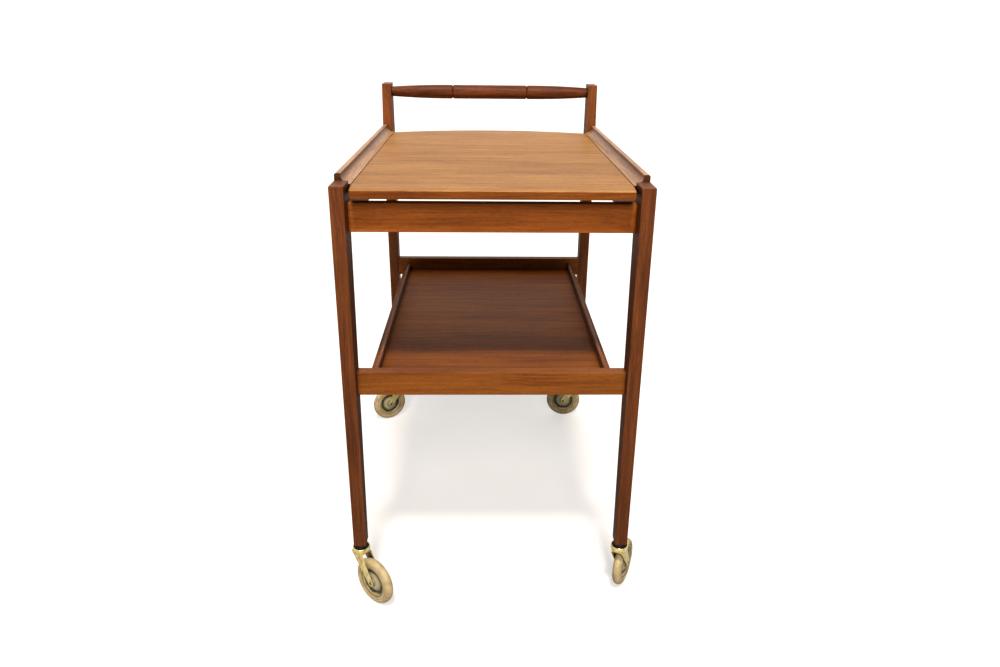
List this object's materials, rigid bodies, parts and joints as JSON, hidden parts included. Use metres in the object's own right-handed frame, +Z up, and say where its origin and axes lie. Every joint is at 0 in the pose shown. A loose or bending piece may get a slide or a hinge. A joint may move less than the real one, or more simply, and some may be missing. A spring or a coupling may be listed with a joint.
{
  "type": "bar cart",
  "caption": "Two-tier teak bar cart with a lift-off tray between raised side rails, a turned push handle and swivel casters.",
  "frame": {"origin": "on the floor, in the middle of the box round the cart with its casters as stored", "axes": "+Z up, +Y along the cart towards the push handle, +X to the right when looking along +Y"},
  "size_m": [0.5048, 0.6794, 0.75],
  "materials": {
    "teak_frame": "oiled teak, satin",
    "teak_panel": "oiled teak veneer, satin",
    "beech": "raw",
    "brass": "polished, lightly tarnished",
    "black_steel": "black, semi-gloss",
    "dark_steel": "dull, darkened",
    "zinc_steel": "zinc plated",
    "grey_disc": "dull plated, aged",
    "tyre": "beige solid rubber, matt"
  },
  "bodies": {
    "frame": {"leg_front_left": "teak_frame", "leg_front_right": "teak_frame", "leg_back_left": "teak_frame", "leg_back_right": "teak_frame", "apron_front": "teak_frame", "apron_back": "teak_frame", "apron_left": "teak_frame", "apron_right": "teak_frame", "apron_dowels": "beech", "apron_tenons": "beech", "handle": "teak_frame", "shelf_rail_front": "teak_frame", "shelf_rail_back": "teak_frame", "shelf_panel": "teak_panel", "shelf_strip_left": "teak_frame", "shelf_strip_right": "teak_frame", "shelf_screws": "zinc_steel", "leg_plugs": "teak_frame", "caster_socket_front_left": "zinc_steel", "bearing_cap_front_left": "black_steel", "caster_socket_front_right": "zinc_steel", "bearing_cap_front_right": "black_steel", "caster_socket_back_left": "zinc_steel", "bearing_cap_back_left": "black_steel", "caster_socket_back_right": "zinc_steel", "bearing_cap_back_right": "black_steel"},
    "tray": {"tray_panel": "teak_panel", "tray_rail_left": "teak_frame", "tray_rail_right": "teak_frame"},
    "fork_front_left": {"caster_stem_front_left": "zinc_steel", "fork_front_left": "brass", "axle_front_left": "dark_steel"},
    "wheel_front_left": {"wheel_disc_front_left": "grey_disc", "tyre_front_left": "tyre"},
    "fork_front_right": {"caster_stem_front_right": "zinc_steel", "fork_front_right": "brass", "axle_front_right": "dark_steel"},
    "wheel_front_right": {"wheel_disc_front_right": "grey_disc", "tyre_front_right": "tyre"},
    "fork_back_left": {"caster_stem_back_left": "zinc_steel", "fork_back_left": "brass", "axle_back_left": "dark_steel"},
    "wheel_back_left": {"wheel_disc_back_left": "grey_disc", "tyre_back_left": "tyre"},
    "fork_back_right": {"caster_stem_back_right": "zinc_steel", "fork_back_right": "brass", "axle_back_right": "dark_steel"},
    "wheel_back_right": {"wheel_disc_back_right": "grey_disc", "tyre_back_right": "tyre"}
  },
  "joints": [
    {"name": "tray_lift", "type": "slide", "parent": "frame", "child": "tray", "axis": [0, 0, 1], "range_m": [0, 0.045]},
    {"name": "swivel_front_left", "type": "hinge", "parent": "frame", "child": "fork_front_left", "pos_m": [-0.19223, -0.29176, 0.0384], "axis": [0, 0, 1], "continuous": true},
    {"name": "roll_front_left", "type": "hinge", "parent": "fork_front_left", "child": "wheel_front_left", "pos_m": [-0.17059, -0.31077, 0.0384], "axis": [0.66, 0.7513, 0], "continuous": true},
    {"name": "swivel_front_right", "type": "hinge", "parent": "frame", "child": "fork_front_right", "pos_m": [0.21827, -0.29176, 0.0384], "axis": [0, 0, 1], "continuous": true},
    {"name": "roll_front_right", "type": "hinge", "parent": "fork_front_right", "child": "wheel_front_right", "pos_m": [0.23121, -0.26603, 0.0384], "axis": [-0.8934, 0.4493, 0], "continuous": true},
    {"name": "swivel_back_left", "type": "hinge", "parent": "frame", "child": "fork_back_left", "pos_m": [-0.19223, 0.32624, 0.0384], "axis": [0, 0, 1], "continuous": true},
    {"name": "roll_back_left", "type": "hinge", "parent": "fork_back_left", "child": "wheel_back_left", "pos_m": [-0.21759, 0.31258, 0.0384], "axis": [0.4741, -0.8805, 0], "continuous": true},
    {"name": "swivel_back_right", "type": "hinge", "parent": "frame", "child": "fork_back_right", "pos_m": [0.21827, 0.32624, 0.0384], "axis": [0, 0, 1], "continuous": true},
    {"name": "roll_back_right", "type": "hinge", "parent": "fork_back_right", "child": "wheel_back_right", "pos_m": [0.18968, 0.32975, 0.0384], "axis": [-0.1219, -0.9925, 0], "continuous": true}
  ]
}
